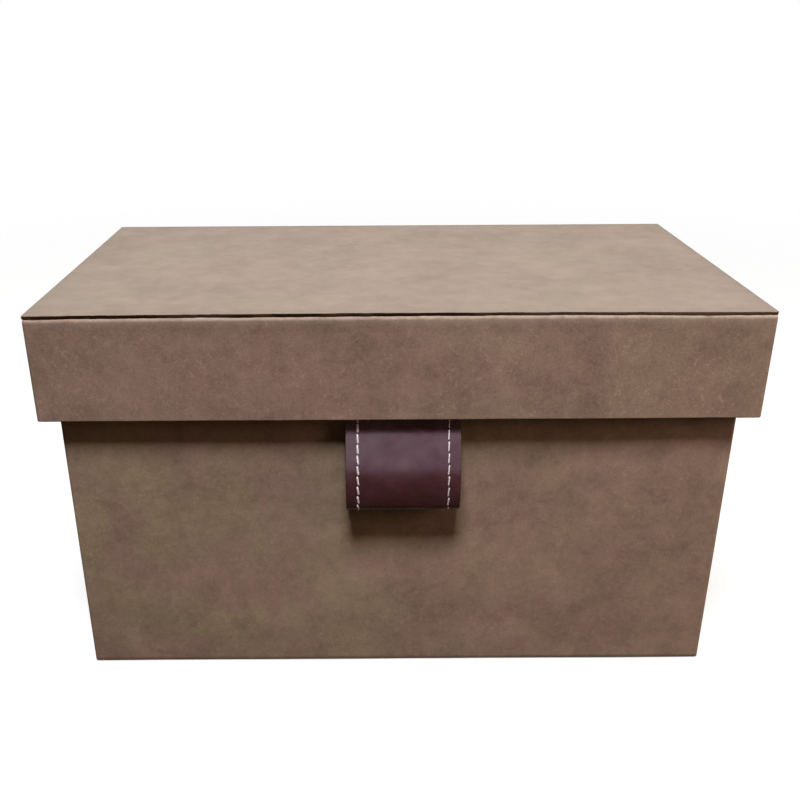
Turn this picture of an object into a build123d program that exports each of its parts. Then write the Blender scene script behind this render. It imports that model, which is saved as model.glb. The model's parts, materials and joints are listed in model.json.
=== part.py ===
"""Photo storage box: a rigid board tray and a lift-off lid, both wrapped in leatherette, with a
stitched leather pull tab that hangs in a loop from the lid's front edge.

Frame: millimetres, +X to the right, +Y to the back, +Z up. The origin is the centre of the
underside. Each function returns one sub-part, already in its place in the closed box.
"""

from build123d import *
import math
import os

# ---- tray ------------------------------------------------------------------------------------
body_width = 305.0  # outside the cover, along X
body_depth = 165.0  # outside the cover, along Y
body_height = 178.5  # underside to the top of the rim
wall_board_thickness = 2.5
base_board_thickness = 2.5
wall_lining_thickness = 1.5
floor_lining_thickness = 1.2
lining_below_rim = 4.0  # bare turn-in between the rim and the top of the lining
base_sheet_thickness = 0.6
base_sheet_inset = 3.0

# ---- lid -------------------------------------------------------------------------------------
lid_clearance = 0.5  # between the tray and the lining of the skirt, on each side
skirt_height = 47.1  # lower edge of the skirt to the underside of the top cover
skirt_board_thickness = 2.5
skirt_lining_thickness = 3.6
skirt_lining_rise = 3.0  # bare turn-in between the skirt's lower edge and its lining
top_board_thickness = 2.5
ceiling_lining_thickness = 1.2
top_cover_thickness = 1.2
top_cover_inset = 0.15
top_cover_edge_radius = 0.5

# ---- leatherette covers ----------------------------------------------------------------------
cover_thickness = 0.9
turn_in = 15.0  # how far a cover is folded over and glued down past each board edge
corner_radius = 1.5  # upright corners
fold_radius = 0.8  # rim, underside and lower skirt edges
skirt_top_radius = 1.2
body_seam_x = 96.0  # butt seam where the ends of the cover strip meet, at the back
lid_seam_x = 104.0
seam_gap = 0.2

# ---- pull tab --------------------------------------------------------------------------------
tab_width = 52.0
tab_centre_x = 2.0
tab_length = 45.2  # lowest point of the loop below the skirt's lower edge
tab_straight = 2.5  # upright stretch of the front leaf below the hinge line
tab_exit_radius = 12.0  # the front leaf's bend away from the tray
tab_lean = 17.0  # degrees that the front leaf then leans forward
tab_swell_radius = 60.0  # its long curve back to upright
tab_leather_thickness = 0.8
tab_backing_thickness = 0.6
tab_leaf_gap = 0.2  # glue line between the two leaves
tab_hinge_below_skirt = 2.5
tab_hinge_clearance = 0.3
tongue_height = 24.0  # length of the two leaves held inside the skirt
tongue_side_clearance = 0.5
tongue_facing_clearance = 0.1

# ---- stitching -------------------------------------------------------------------------------
stitch_inset = 5.5  # row to the edge of the tab
stitch_pitch_left = 4.8
stitch_pitch_right = 5.3
stitch_gap = 0.8  # bare leather between one stitch and the next
thread_radius = 0.4
thread_leg_radius = 0.25
thread_proud = 0.1  # centre of the thread above the leather

# ---- sizes that follow ------------------------------------------------------------------------
skirt_stack = cover_thickness + skirt_board_thickness + skirt_lining_thickness
lid_width = body_width + 2 * (skirt_stack + lid_clearance)
lid_depth = body_depth + 2 * (skirt_stack + lid_clearance)

cover_bottom = base_sheet_thickness
boards_bottom = cover_bottom + cover_thickness
walls_bottom = boards_bottom + base_board_thickness
walls_top = body_height - cover_thickness
body_board_width = body_width - 2 * cover_thickness
body_board_depth = body_depth - 2 * cover_thickness
cavity_width = body_board_width - 2 * wall_board_thickness
cavity_depth = body_board_depth - 2 * wall_board_thickness
floor_top = walls_bottom + floor_lining_thickness
lining_top = body_height - lining_below_rim

ceiling = body_height
top_board_bottom = ceiling + ceiling_lining_thickness
top_board_top = top_board_bottom + top_board_thickness
skirt_top = top_board_top + cover_thickness
skirt_bottom = skirt_top - skirt_height
lid_top = skirt_top + top_cover_thickness
lid_board_width = lid_width - 2 * cover_thickness
lid_board_depth = lid_depth - 2 * cover_thickness
lid_cavity_width = lid_board_width - 2 * skirt_board_thickness
lid_cavity_depth = lid_board_depth - 2 * skirt_board_thickness

leaf_thickness = tab_leather_thickness + tab_backing_thickness
tab_head_radius = leaf_thickness + tab_leaf_gap / 2
tab_front_y = -lid_cavity_depth / 2  # the front leaf lies against the skirt board
tab_hinge_y = tab_front_y + tab_head_radius
tab_back_y = tab_hinge_y + tab_head_radius
tab_hinge_z = skirt_bottom - tab_hinge_below_skirt
tongue_bottom = tab_hinge_z + tab_head_radius + tab_hinge_clearance
tongue_top = skirt_bottom + tongue_height

# Side view of the front leaf, from the end of its upright stretch to the fold at the bottom:
# an exit bend, a leaning straight and the swell. The fold spans the swell and both leaves.
lean = math.radians(tab_lean)
tab_exit_z = tab_hinge_z - tab_straight
tab_bottom_z = skirt_bottom - tab_length
bends_radius = tab_exit_radius + tab_swell_radius
tab_bulge = (
    math.tan(lean) * (tab_exit_z - tab_bottom_z - tab_head_radius)
    - bends_radius * (1 / math.cos(lean) - 1)
) / (1 + math.tan(lean) / 2)
tab_fold_radius = tab_bulge / 2 + tab_head_radius
tab_fold_z = tab_bottom_z + tab_fold_radius
lean_length = (tab_exit_z - tab_fold_z) / math.cos(lean) - bends_radius * math.tan(lean)


# ---- helpers ----------------------------------------------------------------------------------
def block(width, depth, bottom, top, corner=0.0):
    """A block centred on the Z axis, between two heights, with its upright corners rounded."""
    outline = RectangleRounded(width, depth, corner) if corner else Rectangle(width, depth)
    return Pos(0, 0, bottom) * extrude(outline, top - bottom)


def slab(x_range, y_range, z_range):
    """A block given by its limits on each axis."""
    spans = (x_range, y_range, z_range)
    size = [high - low for low, high in spans]
    centre = [(high + low) / 2 for low, high in spans]
    return Pos(*centre) * Box(*size)


def round_level_edges(solid, height, radius, reach):
    """Rounds the outermost edges of a wrapped block at one height."""
    edges = [
        e
        for e in solid.edges().filter_by_position(Axis.Z, height, height)
        if max(abs(e.center().X) - reach[0] / 2, abs(e.center().Y) - reach[1] / 2) > -corner_radius
    ]
    return fillet(edges, radius)


def four_sides(width, depth, thickness, bottom, top):
    """Front, back, left and right panels of a frame. Front and back run the full width."""
    half_width, half_depth = width / 2, depth / 2
    inner = half_depth - thickness
    return {
        "front": slab((-half_width, half_width), (-half_depth, -inner), (bottom, top)),
        "back": slab((-half_width, half_width), (inner, half_depth), (bottom, top)),
        "left": slab((-half_width, thickness - half_width), (-inner, inner), (bottom, top)),
        "right": slab((half_width - thickness, half_width), (-inner, inner), (bottom, top)),
    }


def cut_seam(cover, x, height):
    """Opens the butt seam where the two ends of a wrapped strip meet, at the back."""
    return cover - slab((x, x + seam_gap), (0, lid_depth), (-height, 2 * height))


# ---- tray --------------------------------------------------------------------------------------
def body_cover_blank():
    """The strip round the tray, folded over the rim and under the base, before its seam is cut."""
    wrap = block(body_width, body_depth, cover_bottom, body_height, corner_radius)
    for height in (cover_bottom, body_height):
        wrap = round_level_edges(wrap, height, fold_radius, (body_width, body_depth))
    mouth = (cavity_width - 2 * cover_thickness, cavity_depth - 2 * cover_thickness)
    wrap -= block(body_board_width, body_board_depth, boards_bottom, walls_top)
    wrap -= block(*mouth, walls_bottom, body_height + cover_thickness)
    wrap -= block(body_width - 2 * turn_in, body_depth - 2 * turn_in, 0, walls_bottom)
    fold = block(cavity_width, cavity_depth, body_height - turn_in, walls_top)
    fold -= block(*mouth, 0, body_height)
    return wrap + fold


def tray_parts():
    """Every sub-part of the tray."""
    blank = body_cover_blank()
    parts = {
        "base_board": block(body_board_width, body_board_depth, boards_bottom, walls_bottom),
        "body_cover": cut_seam(blank, body_seam_x, body_height),
        "base_infill_card": block(
            body_width - 2 * turn_in, body_depth - 2 * turn_in, cover_bottom, boards_bottom
        ),
        "base_sheet": block(
            body_width - 2 * base_sheet_inset,
            body_depth - 2 * base_sheet_inset,
            0,
            base_sheet_thickness,
            corner_radius,
        ),
        "floor_lining": block(cavity_width, cavity_depth, walls_bottom, floor_top),
    }
    boards = four_sides(
        body_board_width, body_board_depth, wall_board_thickness, walls_bottom, walls_top
    )
    linings = four_sides(cavity_width, cavity_depth, wall_lining_thickness, floor_top, lining_top)
    for side in boards:
        parts[f"{side}_wall_board"] = boards[side]
        parts[f"{side}_wall_lining"] = linings[side] - blank
    return parts


# ---- lid ---------------------------------------------------------------------------------------
def tongue_pocket():
    """The room that the tab's two held leaves take between the skirt board and its lining."""
    half_width = tab_width / 2 + tongue_side_clearance
    return slab(
        (tab_centre_x - half_width, tab_centre_x + half_width),
        (tab_front_y, tab_back_y + tongue_facing_clearance),
        (skirt_bottom - cover_thickness, tongue_top + tongue_side_clearance),
    )


def skirt_cover_blank():
    """The strip round the skirt, folded over the top board and up inside, before its seam."""
    wrap = block(lid_width, lid_depth, skirt_bottom, skirt_top, corner_radius)
    wrap = round_level_edges(wrap, skirt_bottom, fold_radius, (lid_width, lid_depth))
    wrap = round_level_edges(wrap, skirt_top, skirt_top_radius, (lid_width, lid_depth))
    mouth = (lid_cavity_width - 2 * cover_thickness, lid_cavity_depth - 2 * cover_thickness)
    boards_low = skirt_bottom + cover_thickness
    wrap -= block(lid_board_width, lid_board_depth, boards_low, top_board_top)
    wrap -= block(*mouth, skirt_bottom - cover_thickness, top_board_bottom)
    wrap -= block(lid_width - 2 * turn_in, lid_depth - 2 * turn_in, ceiling, lid_top)
    fold = block(lid_cavity_width, lid_cavity_depth, boards_low, skirt_bottom + turn_in)
    fold -= block(*mouth, 0, lid_top)
    return wrap + fold - tongue_pocket()


def lid_parts():
    """Every sub-part of the lid, without its pull tab."""
    blank = skirt_cover_blank()
    top_sheet = block(
        lid_width - 2 * top_cover_inset,
        lid_depth - 2 * top_cover_inset,
        skirt_top,
        lid_top,
        corner_radius,
    )
    upper_edges = top_sheet.edges().filter_by_position(Axis.Z, lid_top, lid_top)
    parts = {
        "lid_top_board": block(lid_board_width, lid_board_depth, top_board_bottom, top_board_top),
        "lid_skirt_cover": cut_seam(blank, lid_seam_x, lid_top),
        "lid_infill_card": block(
            lid_width - 2 * turn_in, lid_depth - 2 * turn_in, top_board_top, skirt_top
        ),
        "lid_top_cover": fillet(upper_edges, top_cover_edge_radius),
        "lid_ceiling_lining": block(
            lid_cavity_width, lid_cavity_depth, ceiling, top_board_bottom
        ),
    }
    boards = four_sides(
        lid_board_width,
        lid_board_depth,
        skirt_board_thickness,
        skirt_bottom + cover_thickness,
        top_board_bottom,
    )
    linings = four_sides(
        lid_cavity_width,
        lid_cavity_depth,
        skirt_lining_thickness,
        skirt_bottom + skirt_lining_rise,
        ceiling,
    )
    linings["front"] -= tongue_pocket()
    for side in boards:
        parts[f"lid_{side}_board"] = boards[side]
        parts[f"lid_{side}_lining"] = linings[side] - blank
    return parts


# ---- pull tab -----------------------------------------------------------------------------------
def arc(centre, radius, start_deg, end_deg):
    """A circular arc in the tab's side view, between two angles about its centre."""
    points = [
        (
            centre[0] + radius * math.cos(math.radians(a)),
            centre[1] + radius * math.sin(math.radians(a)),
        )
        for a in (start_deg, (start_deg + end_deg) / 2, end_deg)
    ]
    return ThreePointArc(*points)


def loop_edges(inset):
    """The loop's side view at a depth below its outer face, as (y, z): the front leaf from the
    hinge line down, the fold, the back leaf up, and last the round head about the hinge line."""
    facing = (-math.cos(lean), math.sin(lean))  # outward from the leaning straight
    exit_centre = (tab_front_y - tab_exit_radius, tab_exit_z)
    swell_centre = (tab_front_y - tab_bulge + tab_swell_radius, tab_fold_z)
    lean_top, lean_end = [
        (centre[0] + radius * facing[0], centre[1] + radius * facing[1])
        for centre, radius in (
            (exit_centre, -tab_exit_radius - inset),
            (swell_centre, tab_swell_radius - inset),
        )
    ]
    front_y = tab_front_y + inset
    back_y = tab_back_y - inset
    return [
        Line((front_y, tab_hinge_z), (front_y, tab_exit_z)),
        arc(exit_centre, tab_exit_radius + inset, 0, -tab_lean),
        Line(lean_top, lean_end),
        arc(swell_centre, tab_swell_radius - inset, 180 - tab_lean, 180),
        arc((tab_back_y - tab_fold_radius, tab_fold_z), tab_fold_radius - inset, 180, 360),
        Line((back_y, tab_fold_z), (back_y, tab_hinge_z)),
        arc((tab_hinge_y, tab_hinge_z), tab_head_radius - inset, 0, 180),
    ]


def across_tab(side_view):
    """Extrudes a side view, drawn as (y, z), over the tab's width."""
    placed = Plane.YZ.offset(tab_centre_x) * side_view
    return extrude(placed, tab_width / 2, both=True)


def loop_layer(outer_depth, inner_depth):
    """One layer of the loop, between two depths below its outer face."""
    outline = make_face(loop_edges(outer_depth)) - make_face(loop_edges(inner_depth))
    return across_tab(outline)


def tongue_layer(depth, thickness):
    """One layer of both held leaves, at a depth below their outer faces."""
    half_width = tab_width / 2
    x_range = (tab_centre_x - half_width, tab_centre_x + half_width)
    z_range = (tongue_bottom, tongue_top)
    front = (tab_front_y + depth, tab_front_y + depth + thickness)
    back = (tab_back_y - depth - thickness, tab_back_y - depth)
    return Compound(children=[slab(x_range, y_range, z_range) for y_range in (front, back)])


def stitch(place, length):
    """One stitch: a run of thread on the leather and two legs down through both layers."""
    leg_length = leaf_thickness + thread_proud
    run = Rotation(0, 90, 0) * Cylinder(thread_radius, length)
    solid = Pos(0, 0, thread_proud) * run
    for end in (-1, 1):
        leg_x = end * (length / 2 - thread_leg_radius)
        leg = Cylinder(thread_leg_radius, leg_length)
        solid += Pos(leg_x, 0, thread_proud - leg_length / 2) * leg
    return place * solid


def stitch_row(x, pitch):
    """A row of separate stitches round the loop, from the hinge line and back to it."""
    path = Wire(loop_edges(0.0)[:-1])
    count = int(path.length // pitch)
    start = (path.length - (count - 1) * pitch) / 2
    stitches = []
    for i in range(count):
        share = (start + i * pitch) / path.length
        point = path.position_at(share)
        along = path.tangent_at(share)
        place = Plane(
            origin=(x, point.X, point.Y),
            x_dir=(0, along.X, along.Y),
            z_dir=(0, along.Y, -along.X),
        )
        stitches.append(stitch(place.location, pitch - stitch_gap))
    return Compound(children=stitches)


def tab_parts():
    """The pull tab: two glued and stitched layers, as a free loop and as the tongue in the skirt."""
    row_offset = tab_width / 2 - stitch_inset
    return {
        "tab_loop_leather": loop_layer(0.0, tab_leather_thickness),
        "tab_loop_backing": loop_layer(tab_leather_thickness, leaf_thickness),
        "tab_tongue_leather": tongue_layer(0.0, tab_leather_thickness),
        "tab_tongue_backing": tongue_layer(tab_leather_thickness, tab_backing_thickness),
        "tab_stitching_left": stitch_row(tab_centre_x - row_offset, stitch_pitch_left),
        "tab_stitching_right": stitch_row(tab_centre_x + row_offset, stitch_pitch_right),
    }


def main():
    os.makedirs("parts", exist_ok=True)
    for name, shape in {**tray_parts(), **lid_parts(), **tab_parts()}.items():
        export_step(shape, f"parts/{name}.step")
    print(f"lid {lid_width:.1f} x {lid_depth:.1f}, height {lid_top:.1f}, skirt at {skirt_bottom:.1f}")
    print(f"tab hinge at y {tab_hinge_y:.2f}, z {tab_hinge_z:.2f}, bulge {tab_bulge:.2f}")


main()
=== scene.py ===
import json
import math
from functools import partialmethod

import bmesh
import bpy
from mathutils import Matrix, Vector, noise


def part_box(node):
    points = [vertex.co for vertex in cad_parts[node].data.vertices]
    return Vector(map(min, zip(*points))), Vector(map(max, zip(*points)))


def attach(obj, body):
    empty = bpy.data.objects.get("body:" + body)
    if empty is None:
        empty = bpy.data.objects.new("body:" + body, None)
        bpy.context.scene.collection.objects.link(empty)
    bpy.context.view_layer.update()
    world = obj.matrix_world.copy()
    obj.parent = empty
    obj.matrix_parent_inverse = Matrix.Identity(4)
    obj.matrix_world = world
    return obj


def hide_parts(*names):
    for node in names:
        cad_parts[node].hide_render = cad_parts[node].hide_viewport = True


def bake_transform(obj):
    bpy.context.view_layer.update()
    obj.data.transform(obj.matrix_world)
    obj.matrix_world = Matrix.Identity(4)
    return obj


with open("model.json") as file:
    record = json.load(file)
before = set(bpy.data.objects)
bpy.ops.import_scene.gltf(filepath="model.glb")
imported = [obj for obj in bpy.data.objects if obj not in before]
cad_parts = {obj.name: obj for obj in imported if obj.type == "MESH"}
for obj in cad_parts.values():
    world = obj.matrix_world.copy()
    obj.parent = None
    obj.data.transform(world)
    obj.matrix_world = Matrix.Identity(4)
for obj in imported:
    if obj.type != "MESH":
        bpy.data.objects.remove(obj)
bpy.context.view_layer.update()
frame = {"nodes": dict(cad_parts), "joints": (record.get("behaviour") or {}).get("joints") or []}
scene = bpy.context.scene

MM = 0.001

# ---- sizes, in metres ----
tray_low, tray_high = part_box("body_cover")
skirt_low, skirt_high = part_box("lid_skirt_cover")
sheet_low, sheet_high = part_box("lid_top_cover")
loop_low, loop_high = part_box("tab_loop_leather")
tongue_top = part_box("tab_tongue_leather")[1].z

cover_thickness = 0.9 * MM
board_thickness = 2.5 * MM
turn_in = 15 * MM  # how far a cover is folded over past each board edge
corner_radius = 1.5 * MM
fold_radius = 0.5 * MM
base_fold_radius = 0.8 * MM
# Painted shade: the tray's lower edge is drawn darker, standing in for the shadow of its bottom fold.
hem_shade_height = 1.9 * MM  # how far up the tray its lower edge has darkened
base_drop = 0.4 * MM  # the tray cover's lower fold, below the frame's
front_bow = 0.65 * MM  # the tray's front wall, in at its middle and out at its ends
skirt_top_radius = 1.6 * MM
skirt_drop = 0.3 * MM  # the lid cover's lower fold, below the frame's
skirt_hollow = 0.17 * MM  # how far the skirt is drawn in below its top fold
hollow_start, hollow_full = 2.0 * MM, 7.8 * MM  # below the skirt's top
hollow_fade = 30 * MM  # from there to where the skirt is flat again
sheet_edge_radius = 0.25 * MM
sheet_corner_radius = 1.0 * MM
sheet_setback = 0.55 * MM  # behind the skirt's front and back faces
sheet_sink = 0.3 * MM  # how far the sheet is pressed into the cover under it
lid_rise = 0.6 * MM  # the middle of the lid's front edge, above its ends
lid_settling = 0.05 * MM  # how far the whole of the lid's top lies lower
right_rim_rise, rim_rise_x = 0.32 * MM, 55 * MM  # full height, and where it is reached
seam_gap = 0.2 * MM
tray_seam_x = 96 * MM
lid_seam_x = 104 * MM
rim_width = board_thickness + 2 * cover_thickness
corner_ease = 2.5 * turn_in  # how far from a corner the inner faces draw in
pocket_side_clearance = 0.5 * MM

# The pull tab: two leaves held in the skirt, and a loop that leans and swells forward.
tab_middle = (loop_low.x + loop_high.x) / 2
tab_width = loop_high.x - loop_low.x
tab_hinge = Vector(frame["joints"][1]["pos_m"])
leather_thickness = 0.8 * MM
backing_thickness = 0.6 * MM
tab_thickness = leather_thickness + backing_thickness
head_radius = 1.5 * MM  # half of the two leaves and the glue line
upright_length = 2.5 * MM
exit_radius = 12 * MM
swell_radius = 40 * MM
under_radius = 29 * MM  # where the loop's face begins to turn under, before the fold itself
under_turn = math.radians(13)
lean = math.radians(21.3)

stitch_inset = 5.5 * MM
stitch_pitch = {"left": 4.8 * MM, "right": 5.3 * MM}
visible_gap = 0.5 * MM  # between the ends of two stitches, where both go into one hole
thread_radius = {"left": 0.48 * MM, "right": 0.34 * MM}


# ---- meshes ----
def placed(name, data):
    """A new object in the scene."""
    made = bpy.data.objects.new(name, data)
    scene.collection.objects.link(made)
    return made


def store(made, name, values):
    """Keeps a number for each point of a piece, for its materials to read."""
    made.data.attributes.new(name, "FLOAT", "POINT").data.foreach_set("value", values)


def closed_piece(name, vertices, faces, materials, sharp_deg=None, merged=False, laid_flat=()):
    """A smooth closed piece, its faces turned outward and its edges past an angle kept sharp.
    Laid_flat says where each point lies when the leather is laid flat."""
    mesh = bpy.data.meshes.new(name)
    mesh.from_pydata(vertices, [], faces)
    if laid_flat:
        attribute = mesh.attributes.new("laid_flat", "FLOAT_VECTOR", "POINT")
        attribute.data.foreach_set("vector", [value for place in laid_flat for value in place])
    shape = bmesh.new()
    shape.from_mesh(mesh)
    if merged:
        bmesh.ops.remove_doubles(shape, verts=shape.verts, dist=1e-7)
    bmesh.ops.recalc_face_normals(shape, faces=shape.faces)
    shape.to_mesh(mesh)
    shape.free()
    mesh.shade_smooth()
    if sharp_deg:
        mesh.set_sharp_from_angle(angle=math.radians(sharp_deg))
    for material in materials:
        mesh.materials.append(material)
    return placed(name, mesh)


def leatherette_piece(name, vertices, faces, body, replaced, materials, sharp_deg=40):
    """A closed piece of leatherette that rides on a body and stands for one of the frame's nodes."""
    made = closed_piece(name, vertices, faces, materials, sharp_deg, merged=True)
    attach(made, body)
    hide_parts(replaced)
    return made


def tube_faces(rings, count, start=0):
    """The faces that join rings of the same count of points into a tube, and cap its two ends."""
    faces = []
    for ring in range(rings - 1):
        for i in range(count):
            a, b = start + ring * count + i, start + ring * count + (i + 1) % count
            faces.append((a, b, b + count, a + count))
    last = start + (rings - 1) * count
    faces.append(tuple(range(start, start + count)))
    faces.append(tuple(reversed(range(last, last + count))))
    return faces


def spread(start, end, step, ends=0.4 * MM):
    """Values from start to end about a step apart, with one more close to each end."""
    span = end - start
    if abs(span) < 3 * ends:
        return [start, end]
    toward = math.copysign(ends, span)
    count = max(1, round(abs(span) / step))
    inner = [start + toward + (span - 2 * toward) * i / count for i in range(count + 1)]
    return [start] + inner + [end]


def bend(centre, radius, start_deg, end_deg, steps):
    """Points on an arc, both ends included."""
    turns = [math.radians(start_deg + (end_deg - start_deg) * i / steps) for i in range(steps + 1)]
    return [(centre[0] + radius * math.cos(a), centre[1] + radius * math.sin(a)) for a in turns]


def between(start, end, share):
    """The point that lies a share of the way from one point to another."""
    return tuple(a + (b - a) * share for a, b in zip(start, end))


def run(start, end, step):
    """Points on a straight line, both ends included."""
    length = math.dist(start, end)
    return [between(start, end, d / length) for d in spread(0, length, step)]


def without_repeats(points):
    kept = []
    for point in points:
        if not kept or math.dist(kept[-1], point) > 1e-7:
            kept.append(point)
    return kept


class Wall:
    """Places round a rectangular wrap with rounded corners, from a seam at the back and round to
    it again. Each place turns a depth below the outer face into a point seen from above."""

    corners = ((-1, 1, 90), (-1, -1, 180), (1, -1, 270), (1, 1, 360))

    def __init__(self, half_x, half_y, seam_x, step, marks=()):
        self.half = (half_x, half_y)
        self.places = []
        reach_x, reach_y = half_x - corner_radius, half_y - corner_radius
        clear = [
            x for x in spread(-reach_x, reach_x, step) if all(abs(x - m) > 0.3 * step for m in marks)
        ]
        front = sorted(clear + list(marks))
        sides = [
            [(x, 1) for x in spread(seam_x - seam_gap / 2, -reach_x, step)],
            [(y, -1) for y in spread(reach_y, -reach_y, step)],
            [(x, -1) for x in front],
            [(y, 1) for y in spread(-reach_y, reach_y, step)],
            [(x, 1) for x in spread(reach_x, seam_x + seam_gap / 2, step)],
        ]
        for index, side in enumerate(sides):
            axis = index % 2
            self.places += [("side", axis, value, sign) for value, sign in side]
            if index < 4:
                turn = self.corners[index]
                self.places += [("corner", turn, a, None) for a in range(15, 90, 15)]

    def point(self, place, depth):
        kind, first, second, sign = place
        radius = max(corner_radius - depth, 0)
        reach = [h - depth - radius for h in self.half]
        if kind == "corner":
            sx, sy, start = first
            angle = math.radians(start + second)
            return (
                sx * reach[0] + radius * math.cos(angle),
                sy * reach[1] + radius * math.sin(angle),
            )
        full = self.half[first] - corner_radius
        near_end = max(abs(second) - (full - corner_ease), 0) / corner_ease
        along = second - math.copysign((full - reach[first]) * near_end, second)
        across = sign * (self.half[1 - first] - depth)
        return (along, across) if first == 0 else (across, along)

    def corner_distance(self, place):
        if place[0] == "corner":
            return 0
        return self.half[place[1]] - corner_radius - abs(place[2])


def sweep(wall, outline, shape_at):
    """Vertices and faces of a closed outline of (depth, height), carried along a wall. shape_at
    may move each point. The two ends are capped, where the strip's ends meet at the seam."""
    vertices = []
    for place in wall.places:
        for depth, height in outline:
            depth, height = shape_at(place, depth, height)
            x, y = wall.point(place, depth)
            vertices.append((x, y, height))
    return vertices, tube_faces(len(wall.places), len(outline))


def unevenness(x, y, z, size, amount, seed):
    """A smooth random value, the same each time, that changes over about the given size."""
    place = Vector((x / size + seed, y / size - seed, z / size + 2 * seed))
    return amount * noise.noise(place)


def eased(value, start, end):
    """A smooth rise from 0 where the value is at the start to 1 where it is at the end."""
    share = min(max((value - start) / (end - start), 0), 1)
    return share * share * (3 - 2 * share)


def lid_bow(x, y):
    """How far the lid's top stands up: a little in the middle of its front edge."""
    to_front = (0.5 - y / (2 * skirt_high.y)) ** 2
    return lid_rise * to_front * (1 - (x / skirt_high.x) ** 2) - lid_settling


def rim_rise(x, y):
    """How far the skirt's top fold stands up round the sheet: more on the right, and puckered."""
    pucker = unevenness(x, y, 0, 4 * MM, 0.16 * MM, 8.3) + unevenness(x, y, 0, 17 * MM, 0.12 * MM, 2.9)
    return right_rim_rise * eased(x, 0, rim_rise_x) + pucker


def hollow_below_fold(x, y, height):
    """How far the skirt is drawn in below its top fold."""
    down = skirt_high.z - sheet_sink - height
    flat_again = 1 - min(max(down - hollow_full, 0) / hollow_fade, 1)
    return skirt_hollow * eased(down, hollow_start, hollow_full) * flat_again


def tray_bow(x, y, height):
    """How far the tray's front wall is drawn in by its lining, more at its middle and its rim."""
    if y > 0 or abs(x) > tray_high.x - corner_radius:
        return 0
    return front_bow * (0.6 - 1.4 * (x / tray_high.x) ** 2) * height / tray_high.z


def wrap_shape(wall, low, high, seed, bow):
    """The slight hand-made unevenness of a glued wrap: panels that are not quite flat and folds
    that are not quite straight."""
    edge_zone, corner_zone = 3 * MM, 12 * MM

    def shape_at(place, depth, height):
        x, y = wall.point(place, 0)
        outer = max(0, 1 - depth / edge_zone)
        if outer > 0:
            calm = min(1, wall.corner_distance(place) / corner_zone)
            panel = unevenness(x, y, height, 55 * MM, 0.22 * MM, seed)
            ripple = unevenness(x, y, height, 9 * MM, 0.05 * MM, seed + 7)
            depth += outer * calm * (panel + ripple + bow(x, y, height))
        near_fold = max(0, 1 - min(height - low, high - height) / edge_zone)
        height += near_fold * unevenness(x, y, 0, 24 * MM, 0.16 * MM, seed + 3)
        return depth, height

    return shape_at


def mark_edge_exposure(made, wall_half, folds, more_on_right=0.0):
    """Stores how exposed each point is, for the paler edges, which are wear together with painted
    sheen and painted highlight:
    the upright edges a little, and each fold by its own share. A fold has a height and a share, which
    may rise toward its right end."""
    # Paler upright edges: painted sheen of grazing light, along with wear.
    upright_share, reach = 0.2, 1.4 * MM
    values = []
    for vertex in made.data.vertices:
        x, y, z = vertex.co
        to_x, to_y = wall_half[0] - abs(x), wall_half[1] - abs(y)
        upright = math.hypot(max(to_x, 0), max(to_y, 0))
        to_wall = min(to_x, to_y)
        level = max(
            share * math.exp(-math.hypot(z - height, max(to_wall, 0)) / reach)
            for height, share in folds
        )
        level *= 1 + more_on_right * x / wall_half[0]
        values.append(max(upright_share * math.exp(-upright / reach), level))
    store(made, "edge_exposure", values)


def tray_cover(materials):
    """The strip round the tray, folded over the rim and under the base."""
    half = (tray_high.x, tray_high.y)
    low, high = tray_low.z - base_drop, tray_high.z
    r, b, t, w = fold_radius, base_fold_radius, cover_thickness, rim_width
    outline = without_repeats(
        run((turn_in, low), (b, low), 5 * MM)
        + bend((b, low + b), b, 270, 180, 9)
        + run((0, low + b), (0, low + 2 * hem_shade_height), 0.4 * MM)
        + run((0, low + 2 * hem_shade_height), (0, high - r), 6 * MM)
        + bend((r, high - r), r, 180, 90, 5)
        + run((r, high), (w - r, high), 2 * MM)
        + bend((w - r, high - r), r, 90, 0, 5)
        + run((w, high - r), (w, high - turn_in), 5 * MM)
        + [(w - t, high - turn_in), (w - t, high - t), (t, high - t), (t, low + t)]
        + [(turn_in, low + t)]
    )
    wall = Wall(*half, tray_seam_x, 6 * MM)
    vertices, faces = sweep(wall, outline, wrap_shape(wall, low, high, 1.7, tray_bow))
    made = leatherette_piece("tray_cover", vertices, faces, "box", "body_cover", materials)
    mark_edge_exposure(made, half, ((low, 0.0), (high, 0.9)))
    # The dark band along the lower edge is painted shade of the bottom fold.
    heights = [max(v.co.z - low, 0) for v in made.data.vertices]
    store(made, "hem_shade", [math.exp(-((h / hem_shade_height) ** 4)) for h in heights])


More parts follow.
